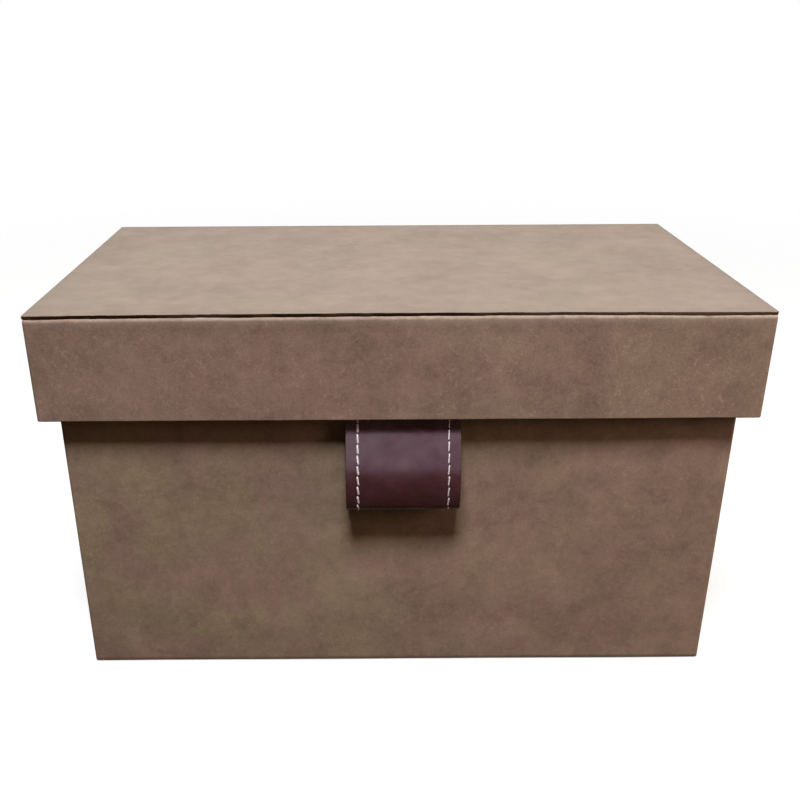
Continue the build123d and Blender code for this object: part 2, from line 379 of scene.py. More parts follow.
def lid_cover(materials):
    """The strip round the skirt, turned over the top board and up inside, cut out for the tab."""
    half = (skirt_high.x, skirt_high.y)
    low, high = skirt_low.z - skirt_drop, skirt_high.z - sheet_sink
    r, q, t, w = fold_radius, skirt_top_radius, cover_thickness, rim_width
    outer = (
        run((turn_in, high), (q, high), 5 * MM)
        + bend((q, high - q), q, 90, 180, 7)
        + run((0, high - q), (0, high - 1.5 * hollow_full), 0.7 * MM)
        + run((0, high - 1.5 * hollow_full), (0, low + r), 5 * MM)
        + bend((r, low + r), r, 180, 270, 5)
        + run((r, low), (w - r, low), 2 * MM)
        + bend((w - r, low + r), r, 270, 360, 5)
        + run((w, low + r), (w, low + turn_in), 5 * MM)
    )
    board_top = skirt_high.z - t
    inner = [(w - t, low + turn_in), (w - t, low + t), (t, low + t), (t, board_top)]
    outline = without_repeats(outer + inner + [(turn_in, board_top)])
    notch_half = tab_width / 2 + pocket_side_clearance
    notch = [tab_middle + side * notch_half for side in (-1, 1)]
    hair = 0.01 * MM
    rim_depth, rim_height = 4 * MM, 5 * MM
    marks = [notch[0] - hair, notch[0], notch[1], notch[1] + hair]
    wall = Wall(*half, lid_seam_x, 1.6 * MM, marks)
    uneven = wrap_shape(wall, low, high, 4.2, hollow_below_fold)

    def shape_at(place, depth, height):
        """Inside the notch the turn-in stops at the board's inner face."""
        in_front = place[0] == "side" and place[1] == 0 and place[3] == -1
        if in_front and notch[0] <= place[2] <= notch[1]:
            if depth > w - t and height <= low + turn_in:
                depth = w - t
            if depth >= w - t - hair and height < high - 2 * turn_in:
                height = min(height, low + t)
        depth, height = uneven(place, depth, height)
        x, y = wall.point(place, depth)
        share = max(0, (height - (low + high) / 2) / (high - low) * 2)
        at_rim = max(0, 1 - depth / rim_depth) * max(0, 1 - (high - height) / rim_height)
        return depth, height + lid_bow(x, y) * share + rim_rise(x, y) * at_rim

    vertices, faces = sweep(wall, outline, shape_at)
    made = leatherette_piece("lid_cover", vertices, faces, "lid", "lid_skirt_cover", materials)
    # The skirt's top fold is paler, more so toward the right: a painted highlight along the fold,
    # along with wear.
    mark_edge_exposure(made, half, ((low, 0.1), (high, 1.05)), 0.33)


def grid_faces(width, depth):
    """The faces of a grid of points, row by row."""
    firsts = [j * width + i for j in range(depth - 1) for i in range(width - 1)]
    return [(a, a + 1, a + 1 + width, a + width) for a in firsts]


def grid_border(width, depth):
    """The outermost points of a grid, in order round it."""
    border = list(range(width)) + [j * width + width - 1 for j in range(1, depth)]
    border += [(depth - 1) * width + i for i in range(width - 2, -1, -1)]
    return border + [j * width for j in range(depth - 2, 0, -1)]


def cut_profile(thickness):
    """The sheet's edge from the side, as (outward, downward): rounded above, then cut straight."""
    e = sheet_edge_radius
    rounding = [math.radians(a) for a in (22, 45, 68, 90)]
    profile = [(e * math.sin(a), e * (1 - math.cos(a))) for a in rounding]
    return profile + [(e, thickness * 0.6), (e - 0.1 * MM, thickness)]


def lid_sheet(materials):
    """The flat sheet on the lid, its cut edge a little uneven. The materials are the face and the
    cut edge."""
    e = sheet_edge_radius
    half = (skirt_high.x - e, skirt_high.y - sheet_setback - e)
    r = sheet_corner_radius - e
    low, high = sheet_low.z - sheet_sink, sheet_high.z
    corner_rows = [half[1] - r + r * math.sin(math.radians(a)) for a in range(0, 91, 15)]
    middle_rows = spread(-(half[1] - r), half[1] - r, 5 * MM)[1:-1]
    rows = [-y for y in reversed(corner_rows)] + middle_rows + corner_rows
    shares = [x / half[0] for x in spread(-half[0], half[0], 1.6 * MM)]

    def reach(y):
        past = max(abs(y) - (half[1] - r), 0)
        return half[0] - r + math.sqrt(max(r * r - past * past, 0))

    def outward(x, y):
        past_x, past_y = max(abs(x) - (half[0] - r), 0), max(abs(y) - (half[1] - r), 0)
        side = Vector((math.copysign(past_x, x), math.copysign(past_y, y)))
        return side.normalized() if side.length > 1e-9 else Vector((0, math.copysign(1, y)))

    def ripple(x, y):
        inside = (1 - (x / half[0]) ** 2) * (1 - (y / half[1]) ** 2)
        return unevenness(x, y, 0, 38 * MM, 0.12 * MM, 9.1) * min(1, 6 * max(inside, 0))

    top = [(s * reach(y), y) for y in rows for s in shares]
    vertices = [(x, y, high + lid_bow(x, y) + ripple(x, y)) for x, y in top]
    faces = grid_faces(len(shares), len(rows))
    upper = rim = grid_border(len(shares), len(rows))
    for out, down in cut_profile(high - low):
        lower = list(range(len(vertices), len(vertices) + len(rim)))
        lowered = down / (high - low)
        for x, y in (top[index] for index in rim):
            way = outward(x, y)
            wander = unevenness(x, y, 0, 13 * MM, 0.3 * MM, 5.5)
            wander += unevenness(x, y, 0, 3.5 * MM, 0.2 * MM, 6.5)
            past = out + wander * min(1, 2 * lowered)
            sag = unevenness(x, y, 0, 7 * MM, 0.14 * MM, 3.5) * lowered
            z = high + lid_bow(x, y) - down + sag
            vertices.append((x + way.x * past, y + way.y * past, z))
        faces += zip(upper, lower, lower[1:] + lower[:1], upper[1:] + upper[:1])
        upper = lower
    faces.append(tuple(reversed(upper)))
    made = leatherette_piece("lid_sheet", vertices, faces, "lid", "lid_top_cover", materials, 50)
    for face in made.data.polygons:
        if abs(face.normal.z) < 0.5:
            face.material_index = 1
    to_edge = [min(skirt_high.x - abs(v.co.x), skirt_high.y - abs(v.co.y)) for v in made.data.vertices]
    store(made, "edge_exposure", [math.exp(-max(d, 0) / (4 * MM)) for d in to_edge])


# ---- pull tab ----
def tab_side_view(fine, coarse):
    """The outer face of the whole tab, seen from the side, from the top of the held front leaf
    down, round the fold and up the back leaf: points, outward directions and lengths along it
    from the hinge line. Fine and coarse are the steps in the loop and in the held leaves."""
    front_y, back_y = tab_hinge.y - head_radius, tab_hinge.y + head_radius
    exit_z = tab_hinge.z - upright_length
    bends = exit_radius + swell_radius
    under_drop = under_radius * math.sin(under_turn)
    under_back = under_radius * (1 - math.cos(under_turn))
    share = (1 - math.sin(under_turn)) / (1 + math.cos(under_turn))
    drop = exit_z - loop_low.z - under_drop - share * (2 * head_radius - under_back)
    bulge = math.tan(lean) * drop - bends * (1 / math.cos(lean) - 1)
    bulge /= 1 + share * math.tan(lean)
    fold = (bulge + 2 * head_radius - under_back) / (1 + math.cos(under_turn))
    widest_z = loop_low.z + under_drop + fold * (1 - math.sin(under_turn))
    fold_z = loop_low.z + fold
    lean_deg, under_deg = math.degrees(lean), math.degrees(under_turn)

    def steps(length, step):
        return max(2, round(length / step))

    def straight(start, end, step):
        n = steps(math.dist(start, end), step)
        return [between(start, end, i / n) for i in range(n + 1)]

    def arc(centre, radius, start_deg, end_deg):
        length = radius * math.radians(abs(end_deg - start_deg))
        return bend(centre, radius, start_deg, end_deg, steps(length, fine))

    exit_bend = arc((front_y - exit_radius, exit_z), exit_radius, 0, -lean_deg)
    swell = arc((front_y - bulge + swell_radius, widest_z), swell_radius, 180 - lean_deg, 180)
    points = without_repeats(
        straight((front_y, tongue_top), (front_y, skirt_low.z), coarse)
        + straight((front_y, skirt_low.z), (front_y, tab_hinge.z), fine)
        + straight((front_y, tab_hinge.z), (front_y, exit_z), fine)
        + exit_bend
        + straight(exit_bend[-1], swell[0], fine)
        + swell
        + arc((front_y - bulge + under_radius, widest_z), under_radius, 180, 180 + under_deg)
        + arc((back_y - fold, fold_z), fold, 180 + under_deg, 360)
        + straight((back_y, fold_z), (back_y, skirt_low.z), fine)
        + straight((back_y, skirt_low.z), (back_y, tongue_top), coarse)
    )
    lengths, outward = [0.0], []
    for i, point in enumerate(points):
        before, after = points[max(i - 1, 0)], points[min(i + 1, len(points) - 1)]
        way = Vector((after[0] - before[0], after[1] - before[1])).normalized()
        outward.append((way.y, -way.x))
        if i:
            lengths.append(lengths[-1] + math.dist(points[i - 1], point))
    at_hinge = tongue_top - tab_hinge.z
    return [(p, n, length - at_hinge) for p, n, length in zip(points, outward, lengths)]


def place_on_tab(view, length):
    """The point and outward direction at a length below the hinge line."""
    for (point, way, here), (next_point, next_way, there) in zip(view, view[1:]):
        if here <= length <= there:
            share = (length - here) / (there - here)
            way = Vector(between(way, next_way, share)).normalized()
            return between(point, next_point, share), way
    raise ValueError("length is past the end of the tab")


def stitch_places(side, view):
    """Centre and length of each stitch of one row. Nothing is sewn above the skirt's edge."""
    first = {"left": -1.5 * MM, "right": 1.2 * MM}[side]
    pitch = stitch_pitch[side]
    highest = tab_hinge.z - skirt_low.z + 0.2 * MM
    lowest = view[-1][2] + tab_hinge.z - tongue_top
    places = []
    half = (pitch - visible_gap) / 2
    for i in range(int((lowest - first) / pitch) + 1):
        start = max(first + i * pitch - half, highest)
        end = first + i * pitch + half
        if end < lowest:
            places.append(((start + end) / 2, end - start))
    return places


def tab_relief(across, along, rows):
    """How far the leather's face lies below flat: drawn in along the stitching, pricked where the
    thread goes through, rounded at the cut edges, and a little uneven."""
    edge_round = 0.5 * MM
    groove, groove_reach = 0.16 * MM, 0.8 * MM
    prick, prick_reach = 0.24 * MM, 0.42 * MM
    to_edge = tab_width / 2 - abs(across)
    depth = 0.0
    if to_edge < edge_round:
        depth += edge_round - math.sqrt(max(edge_round**2 - (edge_round - to_edge) ** 2, 0))
    for row, holes in rows:
        off = across - row
        if abs(off) < 3 * MM:
            depth += groove * math.exp(-((off / groove_reach) ** 2))
            nearest = min(abs(along - hole) for hole in holes)
            depth += prick * math.exp(-(off**2 + nearest**2) / prick_reach**2)
    return depth + unevenness(across, along, 0, 11 * MM, 0.07 * MM, 2.2)


def places_across(rows):
    """Where the points of the tab's outer face lie across it, close together along each row."""
    half = tab_width / 2
    if not rows:
        return [half * i / 8 for i in range(-8, 9)]
    rim = [half - inward * MM for inward in (0, 0.05, 0.15, 0.3, 0.5)]
    around = [row + 0.25 * MM * i for row, _ in rows for i in range(-7, 8)]
    plain = [half * i / 13 for i in range(-12, 13)]
    clear = [x for x in plain if all(abs(x - row) > 2.2 * MM for row, _ in rows)]
    return sorted(around + clear + rim + [-x for x in rim])


def tab_layer(name, view, depths, rows, materials):
    """One layer of the tab as a closed strip, between two depths below its outer face. The
    materials are the outer face, the inner face and the cut edges."""
    outer = places_across(rows)
    loop = [(x, 0) for x in outer] + [(x, 1) for x in reversed(places_across([]))]
    vertices, flat = [], []
    for (y, z), (ny, nz), along in view:
        for across, inner in loop:
            depth = depths[inner]
            if rows and not inner:
                depth += tab_relief(across, along, rows)
            vertices.append((tab_middle + across, y - ny * depth, z - nz * depth))
            flat.append((across, along, depth))
    count = len(loop)
    faces = tube_faces(len(view), count)
    made = closed_piece(name, vertices, faces, materials, sharp_deg=50, laid_flat=flat)
    outer_face, inner_face, cut_face = range(3)
    for face in made.data.polygons:
        position = face.index % count
        if face.index >= (len(view) - 1) * count or position in (len(outer) - 1, count - 1):
            face.material_index = cut_face
        else:
            face.material_index = outer_face if position < len(outer) else inner_face
    layer = name.removeprefix("tab_")
    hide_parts("tab_loop_" + layer, "tab_tongue_" + layer)
    bend_at_hinge(made)


def bend_at_hinge(made):
    """Bakes a piece of the tab's placing into its points."""
    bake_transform(made)


def stitch_row(side, row, view, material):
    """A row of separate stitches of two-ply thread, on the outer face and inside the loop. Each
    dives into its holes, and those at the foot lie lower and more aslant."""
    slant_at_foot = {"left": 0.55 * MM, "right": -0.55 * MM}[side]
    full_slant, full_sink = 24 * MM, 35 * MM  # how far down the loop each is reached
    crown, dive, sink_at_foot, bedding = 0.16 * MM, 0.85 * MM, 0.1 * MM, 0.14 * MM
    past_holes, thinner_end, thinner_inside = 0.1, 0.3, 0.86
    rings, around, twist, ply_depth = 15, 10, 2.5, 0.13
    vertices, faces, flat = [], [], []

    def stitch(middle, length, inside):
        start = len(vertices)
        for ring in range(rings):
            t = ring / (rings - 1)
            far = abs(2 * t - 1)
            along = middle + (t - 0.5) * length * (1 + past_holes * far)
            (y, z), n = place_on_tab(view, along)
            radius = thread_radius[side] * (thinner_inside if inside else 1)
            radius *= 1 - thinner_end * far**5
            sunk = sink_at_foot * min(1, max(0, middle / full_sink))
            rise = crown - sunk - dive * far**7
            height = -tab_thickness - rise if inside else rise - bedding
            slant = slant_at_foot * min(1, max(0.15, middle / full_slant))
            offset = slant * (t - 0.5) * (-1 if inside else 1)
            for i in range(around):
                angle = 2 * math.pi * i / around
                ply = 1 + ply_depth * math.cos(2 * (angle - twist * 2 * math.pi * t))
                across = row + offset + radius * ply * math.cos(angle)
                up = height + radius * ply * math.sin(angle)
                vertices.append((tab_middle + across, y + n.x * up, z + n.y * up))
                flat.append((across, along, up))
        faces.extend(tube_faces(rings, around, start))

    bare_inside = 16 * MM  # near the skirt, where the inner side can't be seen or reached
    total = view[-1][2] + tab_hinge.z - tongue_top
    for middle, length in stitch_places(side, view):
        stitch(middle, length, False)
        if bare_inside < middle < total - bare_inside:
            stitch(middle, length, True)
    name = "tab_thread_" + side
    made = closed_piece(name, vertices, faces, [material], laid_flat=flat)
    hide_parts("tab_stitching_" + side)
    bend_at_hinge(made)


# ---- node trees ----
class Tree:
    """Builds one node tree. Inputs are plain values or the output sockets that feed them."""

    def __init__(self, tree):
        self.tree = tree

    def link(self, output, socket):
        self.tree.links.new(output, socket)

    def add(self, kind, inputs=(), **settings):
        node = self.tree.nodes.new(kind)
        for name, value in settings.items():
            setattr(node, name, value)
        for name, value in dict(inputs).items():
            if isinstance(value, bpy.types.NodeSocket):
                self.link(value, node.inputs[name])
            else:
                node.inputs[name].default_value = value
        return node

    def noise(self, place, size, detail=2.0, roughness=0.5, distortion=0.0):
        """Soft noise whose patches are about the given size, in metres."""
        inputs = {
            "Vector": place,
            "Scale": self.maths("DIVIDE", 1.0, size),
            "Detail": detail,
            "Roughness": roughness,
            "Distortion": distortion,
        }
        return self.add("ShaderNodeTexNoise", inputs).outputs["Fac"]

    def maths(self, operation, first, second=0.0):
        return self.add("ShaderNodeMath", {0: first, 1: second}, operation=operation).outputs[0]

    times = partialmethod(maths, "MULTIPLY")
    plus = partialmethod(maths, "ADD")
    minus = partialmethod(maths, "SUBTRACT")
    larger = partialmethod(maths, "MAXIMUM")

    def scaled(self, value, gain, offset):
        return self.plus(self.times(value, gain), offset)

    def along(self, place, axis):
        return self.add("ShaderNodeSeparateXYZ", {"Vector": place}).outputs[axis]

    def rise(self, value, low, high):
        """A smooth step from 0 at low to 1 at high."""
        inputs = {"Value": value, "From Min": low, "From Max": high}
        node = self.add("ShaderNodeMapRange", inputs, interpolation_type="SMOOTHSTEP")
        return node.outputs["Result"]

    def mix(self, share, first, second, blend_type="MIX"):
        inputs = {0: share, 6: first, 7: second}
        node = self.add("ShaderNodeMix", inputs, data_type="RGBA", blend_type=blend_type)
        return node.outputs[2]

    def lighten(self, colour, value):
        """A colour made lighter or darker by a value about 1."""
        return self.mix(1.0, colour, value, "MULTIPLY")


def group(name, numbers, build):
    """A shader node group that takes a place and some numbers. Build gets the tree and these
    inputs, and gives the outputs by their names, all of them numbers."""
    tree = bpy.data.node_groups.new(name, "ShaderNodeTree")
    tree.interface.new_socket("Place", in_out="INPUT", socket_type="NodeSocketVector")
    for label in numbers:
        tree.interface.new_socket(label, in_out="INPUT", socket_type="NodeSocketFloat")
    t = Tree(tree)
    given = t.add("NodeGroupInput").outputs
    outputs = build(t, given["Place"], *[given[label] for label in numbers])
    for label in outputs:
        tree.interface.new_socket(label, in_out="OUTPUT", socket_type="NodeSocketFloat")
    t.add("NodeGroupOutput", outputs)
    return tree


def mottling(t, place, patch, speck):
    """Soft patches of two shades, as in dyed hide. Warm and Dull are masks, Shade is lightness
    about 1, Wisp marks stray pile and Speck is fine grain, about a half."""
    offsets = (0, 0, 0), (0.31, 0.17, 0.47), (0.73, 0.59, 0.13), (0.21, 0.83, 0.67)
    places = [t.add("ShaderNodeVectorMath", {0: place, 1: o}).outputs[0] for o in offsets]

    def patches(place, share, detail, roughness=0.5, distortion=0.0):
        return t.noise(place, t.times(patch, share), detail, roughness, distortion)

    warm = patches(places[0], 1.6, 2.5, 0.45, 0.6)
    dull = patches(places[1], 0.55, 4.0, 0.6, 0.4)
    small = patches(places[2], 0.28, 3.0, 0.6, 0.5)
    middle = patches(places[1], 0.85, 2.0, 0.5, 0.3)
    large = patches(places[3], 2.6, 2.0, 0.5, 0.3)
    shade = t.plus(t.plus(t.times(small, 0.44), t.times(middle, 0.36)), t.times(large, 0.3))
    gathered = t.scaled(t.rise(patches(places[2], 0.7, 2.0), 0.4, 0.6), 0.85, 0.15)
    wisp = t.noise(places[3], t.times(speck, 2.3), 3.0, 0.6, 1.0)
    grain = t.noise(places[0], speck, 3.0, 0.7)
    return {
        "Warm": t.rise(warm, 0.4, 0.6),
        "Dull": t.rise(dull, 0.36, 0.64),
        "Shade": t.plus(shade, 0.45),
        "Wisp": t.times(t.rise(wisp, 0.55, 0.72), gathered),
        "Speck": t.plus(grain, t.times(t.minus(wisp, 0.5), 0.6)),
    }


def nap(t, place, size, pebble):
    """The relief of a brushed surface: short pile, pebbled grain and slow swells."""
    pebbles = {"Vector": place, "Scale": t.maths("DIVIDE", 1.0, size)}
    cells = t.add("ShaderNodeTexVoronoi", pebbles, feature="SMOOTH_F1").outputs["Distance"]
    pile = t.noise(place, t.times(size, 0.4), 3.0, 0.7)
    swell = t.noise(place, t.times(size, 5.0), 2.0, 0.5)
    fine = t.minus(t.times(pile, 0.6), t.times(cells, pebble))
    return {"Height": t.plus(fine, t.times(swell, 0.8))}


def edge_breakup(t, place, exposed, size):
    """Where edges are paler or darker, from wear and from painted sheen and highlight: strongest where
    Exposed is 1, broken up by noise.
    """
    broken = t.noise(place, size, 4.0, 0.65)
    return {"Mask": t.times(exposed, t.rise(broken, 0.22, 0.58))}


def fibres(t, place, size):
    """Paper or board, with fibres lying both ways. Height is its relief, Fleck marks the fibres
    that show and Cloud is how the pulp has gathered, about a half."""
    ways = [
        t.add("ShaderNodeVectorMath", {0: place, 1: stretch}, operation="MULTIPLY").outputs[0]
        for stretch in ((0.25, 1, 0.6), (1, 0.3, 0.25))
    ]
    height = t.plus(*[t.noise(way, size, 3.0, 0.65) for way in ways])
    lint = [t.noise(way, t.times(size, 2.4), 1.0, 0.5, 2.5) for way in ways]
    close = [t.rise(t.maths("ABSOLUTE", t.minus(n, 0.5)), 0.012, 0.0) for n in lint]
    sparse = t.rise(t.noise(place, t.times(size, 6.0)), 0.5, 0.62)
    return {
        "Height": height,
        "Fleck": t.larger(t.rise(height, 1.12, 1.3), t.times(t.larger(*close), sparse)),
        "Cloud": t.noise(place, t.times(size, 11.0), 5.0, 0.62),
    }


groups = {
    "mottling": group("Mottling", ("Patch Size", "Speck Size"), mottling),
    "nap": group("Nap relief", ("Grain Size", "Pebble"), nap),
    "edge_breakup": group("Edge breakup", ("Exposed", "Break Size"), edge_breakup),
    "fibres": group("Fibres", ("Fibre Size",), fibres),
}


# ---- materials ----
def rgb(red, green, blue):
    return (red, green, blue, 1.0)


def grey(value):
    return rgb(value, value, value)


class Finish(Tree):
    """A material under construction, with its Principled shader and its place coordinates."""

    def __init__(self, name, flat=False, **constant):
        self.material = bpy.data.materials.new(name)
        self.material.use_nodes = True
        super().__init__(self.material.node_tree)
        self.shader = self.tree.nodes["Principled BSDF"]
        for label, value in constant.items():
            self.shader.inputs[label.replace("_", " ")].default_value = value
        if flat:
            self.place = self.stored("laid_flat", "Vector")
        else:
            self.place = self.add("ShaderNodeTexCoord").outputs["Object"]

    def stored(self, name, output="Fac"):
        """What the mesh keeps for each of its points."""
        return self.add("ShaderNodeAttribute", attribute_name=name).outputs[output]

    def use(self, name, **inputs):
        """The outputs of one of the shared groups, laid at this material's own place."""
        named = {label.replace("_", " "): value for label, value in inputs.items()}
        named["Place"] = self.place
        return self.add("ShaderNodeGroup", named, node_tree=groups[name]).outputs

    def done(self, colour, rough, height, distance, strength=0.5):
        """Feeds the shader its colour, roughness and relief, and gives the finished material."""
        inputs = {"Height": height, "Distance": distance, "Strength": strength}
        relief = self.add("ShaderNodeBump", inputs).outputs["Normal"]
        for label, socket in (("Base Color", colour), ("Roughness", rough), ("Normal", relief)):
            self.link(socket, self.shader.inputs[label])
        return self.material


def leatherette(
    name, pink, green, evenness, pinkness, contrast, grain,
    edge_colour=rgb(0.42, 0.355, 0.305), gloss=0.1, patch=24 * MM, creases=0.0,
):
    """Suede-look leatherette, mottled in a pinkish and a greenish brown, and of an edge colour near
    its edges: on the walls a paler one, wear together with painted sheen and highlight. Evenness and
    pinkness are each for the left and the right: how far the two browns run into one, and the share of
    the pinkish one in it. Patch and contrast are the size and strength of its light and dark patches,
    grain is that of its pile, creases how much its edges wrinkle."""
    f = Finish(name, Specular_IOR_Level=gloss)
    patches = f.use("mottling", Patch_Size=patch, Speck_Size=1.0 * MM)
    to_right = f.rise(f.along(f.place, "X"), -80 * MM, 80 * MM)
    even, level = (
        f.scaled(to_right, right - left, left) for left, right in (evenness, pinkness)
    )
    short = f.minus(level, patches["Warm"])
    colour = f.mix(f.plus(patches["Warm"], f.times(short, even)), green, pink)
    speck = f.times(f.minus(patches["Speck"], 0.5), 0.6 * grain)
    light = f.times(f.minus(patches["Shade"], 1.0), 1.3 * contrast)
    colour = f.lighten(colour, f.plus(f.plus(light, speck), 1.0))
    stray_pile = rgb(0.5, 0.385, 0.32)
    colour = f.mix(f.times(patches["Wisp"], 0.22 * grain), colour, stray_pile)
    exposed = f.stored("edge_exposure")
    edge_mask = f.use("edge_breakup", Exposed=exposed, Break_Size=6 * MM)["Mask"]
    # The edge colour: on the walls paler, wear together with painted sheen and highlight; on the lid's
    # top darker near its edge.
    colour = f.mix(f.times(edge_mask, 0.7), colour, edge_colour)
    # Painted shade: a dark band along the tray's lower edge.
    hem_shade_colour = rgb(0.075, 0.045, 0.028)
    colour = f.mix(f.times(f.stored("hem_shade"), 0.72), colour, hem_shade_colour)
    rough = f.plus(f.minus(f.times(patches["Dull"], 0.1), f.times(edge_mask, 0.15)), 0.68)
    height = f.use("nap", Grain_Size=1.1 * MM, Pebble=0.3)["Height"]
    if creases:
        wrinkle = f.times(f.noise(f.place, 2.2 * MM, 2.0, 0.5, 1.2), exposed)
        height = f.plus(height, f.times(wrinkle, creases))
    return f.done(colour, rough, height, (0.02 + 0.11 * grain) * MM)


def cut_edge():
    """The raw, darkened edge of the lid's sheet, paler toward its right end and in scuffed places."""
    f = Finish("sheet_cut_edge", Specular_IOR_Level=0.04)
    strands = f.use("fibres", Fibre_Size=0.4 * MM)
    pale_end = f.times(f.rise(f.along(f.place, "X"), 25 * MM, 60 * MM), 0.8)
    scuffed = f.times(f.rise(f.noise(f.place, 20 * MM, 1.0), 0.5, 0.66), 0.5)
    colour = f.mix(f.larger(pale_end, scuffed), rgb(0.02, 0.008, 0.003), rgb(0.085, 0.048, 0.03))
    colour = f.mix(f.times(strands["Fleck"], 0.3), colour, rgb(0.08, 0.05, 0.035))
    return f.done(colour, f.scaled(strands["Cloud"], 0.1, 0.8), strands["Height"], 0.15 * MM, 0.6)


def burgundy_leather():
    """The tab's smooth, polished leather, plum and burgundy in soft patches."""
    f = Finish(
        "burgundy_leather",
        flat=True,
        Specular_IOR_Level=0.61,
        Specular_Tint=rgb(0.8, 0.68, 1.0),
        Coat_Roughness=0.2,
    )
    patches = f.use("mottling", Patch_Size=14 * MM, Speck_Size=0.6 * MM)
    polish = f.rise(f.noise(f.place, 15 * MM, 2.0, 0.5, 0.5), 0.32, 0.66)
    f.link(f.scaled(polish, 0.7, 0.25), f.shader.inputs["Coat Weight"])
    colour = f.mix(patches["Warm"], rgb(0.053, 0.0165, 0.02), rgb(0.045, 0.0135, 0.0146))
    colour = f.lighten(colour, f.scaled(f.minus(patches["Shade"], 1.0), 1.1, 1.0))
    grain = f.use("nap", Grain_Size=0.8 * MM, Pebble=0.8)["Height"]
    waves = f.times(f.noise(f.place, 7.5 * MM, 1.0, 0.4, 0.3), 9.0)
    return f.done(colour, f.scaled(patches["Dull"], 0.14, 0.2), f.plus(grain, waves), 0.05 * MM)


def edge_paint():
    """The tab's burnished cut edges."""
    f = Finish("tab_edge_paint", flat=True, Specular_IOR_Level=0.5)
    patches = f.use("mottling", Patch_Size=4 * MM, Speck_Size=0.4 * MM)
    colour = f.mix(patches["Warm"], rgb(0.05, 0.018, 0.02), rgb(0.028, 0.012, 0.014))
    return f.done(colour, f.scaled(patches["Speck"], 0.2, 0.35), patches["Speck"], 0.08 * MM)


def flesh_side():
    """The tab's matt backing leather."""
    f = Finish("tab_flesh_side", flat=True, Specular_IOR_Level=0.2)
    strands = f.use("fibres", Fibre_Size=0.5 * MM)
    colour = f.mix(strands["Cloud"], rgb(0.06, 0.026, 0.022), rgb(0.085, 0.042, 0.034))
    colour = f.mix(f.times(strands["Fleck"], 0.5), colour, rgb(0.12, 0.07, 0.06))
    return f.done(colour, f.scaled(strands["Cloud"], 0.1, 0.8), strands["Height"], 0.12 * MM)


def sewing_thread():
    """Off-white waxed thread, its plies dirtied a little in the hollows."""
    f = Finish("waxed_thread", flat=True, Specular_IOR_Level=0.4, Sheen_Weight=0.15)
    patches = f.use("mottling", Patch_Size=6 * MM, Speck_Size=0.25 * MM)
    colour = f.mix(patches["Warm"], rgb(0.8, 0.755, 0.88), rgb(0.74, 0.67, 0.76))
    colour = f.mix(f.rise(patches["Speck"], 0.62, 0.38), colour, rgb(0.5, 0.43, 0.44))
    # The stitches turn darker further down the loop.
    toward_foot = f.times(f.rise(f.along(f.place, "Y"), 14 * MM, 30 * MM), 0.5)
    colour = f.mix(toward_foot, colour, rgb(0.48, 0.39, 0.385))
    return f.done(colour, f.scaled(patches["Speck"], 0.2, 0.45), patches["Speck"], 0.06 * MM)


def paper_face(name, base, cloud, fleck, core=None):
    """Lining or backing paper. With a core colour, level faces show the board's cut edge."""
    f = Finish(name, Specular_IOR_Level=0.25)
    strands = f.use("fibres", Fibre_Size=0.7 * MM)
    colour = f.mix(f.rise(strands["Cloud"], 0.35, 0.65), base, cloud)
    colour = f.mix(f.times(strands["Fleck"], 0.35), colour, fleck)
    if core:
        normal = f.add("ShaderNodeNewGeometry").outputs["Normal"]
        level = f.maths("ABSOLUTE", f.along(normal, "Z"))
        raw = f.mix(strands["Cloud"], core, grey(0.16))
        colour = f.mix(f.rise(level, 0.8, 0.95), colour, raw)
    return f.done(colour, f.scaled(strands["Cloud"], 0.12, 0.68), strands["Height"], 0.12 * MM, 0.45)


def pale_floor():
    """A pale floor that keeps the shadow. To the camera it fades into the white surroundings, and
    it is clear from below, so that it hides and darkens nothing that stands on it."""
    material = bpy.data.materials.new("studio_floor")
    material.use_nodes = True
    t = Tree(material.node_tree)
    t.tree.nodes.clear()
    rays = t.add("ShaderNodeLightPath").outputs
    spot = t.add("ShaderNodeNewGeometry").outputs
    away = t.add("ShaderNodeVectorMath", {0: spot["Position"]}, operation="LENGTH").outputs["Value"]
    camera_ray = rays["Is Camera Ray"]
    mirrored = t.larger(rays["Is Glossy Ray"], rays["Is Transmission Ray"])
    far = t.times(t.rise(away, 0.7, 4.0), 0.35)
    pale = t.plus(camera_ray, t.times(mirrored, far))
    colour = t.mix(camera_ray, rgb(0.05, 0.034, 0.02), grey(0.32))
    ground = t.add("ShaderNodeBsdfDiffuse", {"Color": colour}).outputs[0]
    glow = t.add("ShaderNodeEmission", {"Strength": t.times(pale, 0.65)}).outputs[0]
    lit = t.add("ShaderNodeAddShader", {0: ground, 1: glow}).outputs[0]
    fade = t.times(camera_ray, t.rise(away, 0.5, 1.3))
    touching = t.maths("LESS_THAN", rays["Ray Length"], 2 * MM)
    clear = t.larger(t.larger(spot["Backfacing"], touching), fade)
    gone = t.add("ShaderNodeBsdfTransparent").outputs[0]
    shader = t.add("ShaderNodeMixShader", {0: clear, 1: lit, 2: gone}).outputs[0]
    t.link(shader, t.add("ShaderNodeOutputMaterial").inputs["Surface"])
    return material


tray_skin = leatherette(
    "leatherette_tray",
    pink=rgb(0.274, 0.1798, 0.1432),
    green=rgb(0.2765, 0.204, 0.1375),
    evenness=(0.0, 0.75),
    pinkness=(0.75, 0.74),
    contrast=1.0,
    grain=0.72,
)
skirt_skin = leatherette(
    "leatherette",
    pink=rgb(0.2585, 0.1645, 0.132),
    green=rgb(0.269, 0.198, 0.1415),
    evenness=(0.75, 0.7),
    pinkness=(1.0, 0.5),
    contrast=0.95,
    grain=1.15,
)
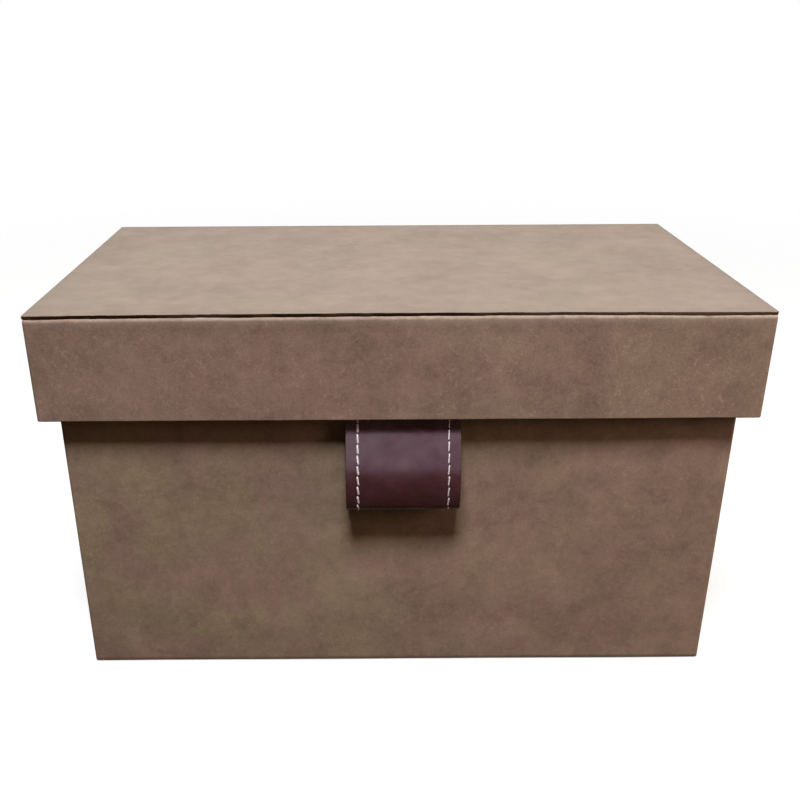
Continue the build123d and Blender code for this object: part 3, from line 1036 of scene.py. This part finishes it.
# The lid's top: greyer and cooler than the skirt, painted sheen of the light grazing it.
top_skin_painted_sheen = leatherette(
    "leatherette_top_painted_sheen",
    pink=rgb(0.25, 0.197, 0.163),
    green=rgb(0.246, 0.201, 0.157),
    edge_colour=rgb(0.19, 0.148, 0.12),
    evenness=(0.0, 0.3),
    pinkness=(0.5, 0.5),
    gloss=0.05,
    patch=33 * MM,
    contrast=0.65,
    grain=0.06,
    creases=30.0,
)
board_core = rgb(0.3, 0.27, 0.235)
lining_tones = rgb(0.38, 0.3, 0.225), rgb(0.415, 0.332, 0.255), rgb(0.53, 0.44, 0.35)
lining = paper_face("lining_paper", *lining_tones)
lining_edged = paper_face("lining_paper_cut", *lining_tones, board_core)
greyboard = paper_face("greyboard", board_core, rgb(0.36, 0.33, 0.29), rgb(0.45, 0.42, 0.38))
backing_paper = paper_face(
    "base_paper", rgb(0.128, 0.094, 0.072), rgb(0.148, 0.11, 0.086), rgb(0.235, 0.185, 0.145)
)


# ---- the object ----
def pull_tab():
    """The tab in its two layers, with a row of stitches along each side."""
    side_view = tab_side_view(0.5 * MM, 4 * MM)
    leather, edge, flesh, thread = burgundy_leather(), edge_paint(), flesh_side(), sewing_thread()
    row_offset = tab_width / 2 - stitch_inset
    rows = []
    for side, row in (("left", -row_offset), ("right", row_offset)):
        sewn = stitch_places(side, side_view)
        rows.append((row, [m + end * length / 2 for m, length in sewn for end in (-1, 1)]))
        stitch_row(side, row, side_view, thread)
    glue_line = leather_thickness
    tab_layer("tab_leather", side_view, (0.0, glue_line), rows, [leather, flesh, edge])
    tab_layer("tab_backing", side_view, (glue_line, tab_thickness), [], [flesh, flesh, edge])


def board_finish(name):
    """The finish of a board, card or paper, by its name."""
    if name == "base_sheet":
        return backing_paper
    if name in ("floor_lining", "lid_ceiling_lining"):
        return lining
    return lining_edged if name.endswith("_lining") else greyboard


tray_cover([tray_skin])
lid_cover([skirt_skin])
lid_sheet([top_skin_painted_sheen, cut_edge()])
pull_tab()
for name, node in frame["nodes"].items():
    if not node.hide_render:
        node.data.materials.clear()
        node.data.materials.append(board_finish(name))


# ---- studio ----
def camera():
    """Looks a little down on the front, from slightly left of the middle."""
    image_side, focal, middle = 800, 929.6, (367.7, 420.1)  # in pixels of the picture
    sensor = 36.0
    eye = Vector((-13.88 * MM, -465.86 * MM, 300.34 * MM))
    pitch, roll = math.radians(23.637), math.radians(-0.345)
    lens = bpy.data.cameras.new("camera")
    lens.sensor_width = sensor
    lens.lens = focal * sensor / image_side
    lens.shift_x = (image_side / 2 - middle[0]) / image_side
    lens.shift_y = (middle[1] - image_side / 2) / image_side
    made = placed("camera", lens)
    turn = Matrix.Rotation(math.pi / 2 - pitch, 4, "X") @ Matrix.Rotation(roll, 4, "Z")
    made.matrix_world = Matrix.Translation(eye) @ turn
    scene.camera = made


def soft_light(name, azimuth, elevation, distance, size, power, colour=(1, 1, 1)):
    """A rectangular soft light that looks at the box. Azimuth 0 is in front, 90 to the right."""
    lamp = bpy.data.lights.new(name, "AREA")
    lamp.shape = "RECTANGLE"
    lamp.size, lamp.size_y = size
    lamp.energy = power
    lamp.color = colour
    aim, away = Matrix.Translation((0, 0, 100 * MM)), Matrix.Translation((0, 0, distance))
    turn = Matrix.Rotation(math.radians(azimuth), 4, "Z")
    turn @= Matrix.Rotation(math.radians(90 - elevation), 4, "X")
    placed(name, lamp).matrix_world = aim @ turn @ away


def surroundings():
    """White to the camera and in reflections. Else a dim warm light, and more of it from below,
    which only the underside sees."""
    world = bpy.data.worlds.new("studio")
    scene.world = world
    world.use_nodes = True
    t = Tree(world.node_tree)
    rays = t.add("ShaderNodeLightPath").outputs
    seen = t.larger(rays["Is Glossy Ray"], rays["Is Transmission Ray"])
    seen = t.larger(seen, rays["Is Camera Ray"])
    height = t.along(t.add("ShaderNodeTexCoord").outputs["Generated"], "Z")
    dim = t.mix(t.rise(height, -0.05, -0.02), grey(0.5), rgb(0.022, 0.009, 0.003))
    walls = t.mix(t.rise(height, 0.0, 0.14), grey(0.2), grey(1.0))
    bright = t.mix(rays["Is Glossy Ray"], grey(1.0), walls)
    shade = t.mix(seen, dim, bright)
    t.link(shade, t.tree.nodes["Background"].inputs["Color"])


def floor():
    """A wide level square, a hair below the box."""
    reach, height = 6.0, -0.2 * MM
    mesh = bpy.data.meshes.new("floor")
    corners = [(x * reach, y * reach, height) for x, y in ((-1, -1), (1, -1), (1, 1), (-1, 1))]
    mesh.from_pydata(corners, [], [(0, 1, 2, 3)])
    mesh.materials.append(pale_floor())
    placed("floor", mesh)


camera()
soft_light("key_light", -5, 65.4, 1.6, (0.464, 0.352), 34.6)
soft_light("fill_light", 65, 20, 0.75, (0.3, 0.3), 1.9, (1.0, 0.75, 0.56))
soft_light("left_light", -115, 22, 2.2, (0.9, 0.6), 14)
soft_light("right_light", 115, 22, 2.2, (0.9, 0.6), 12)
soft_light("back_light", 180, 30, 2.4, (1.8, 0.9), 12)
surroundings()
floor()

scene.view_settings.view_transform = "Standard"
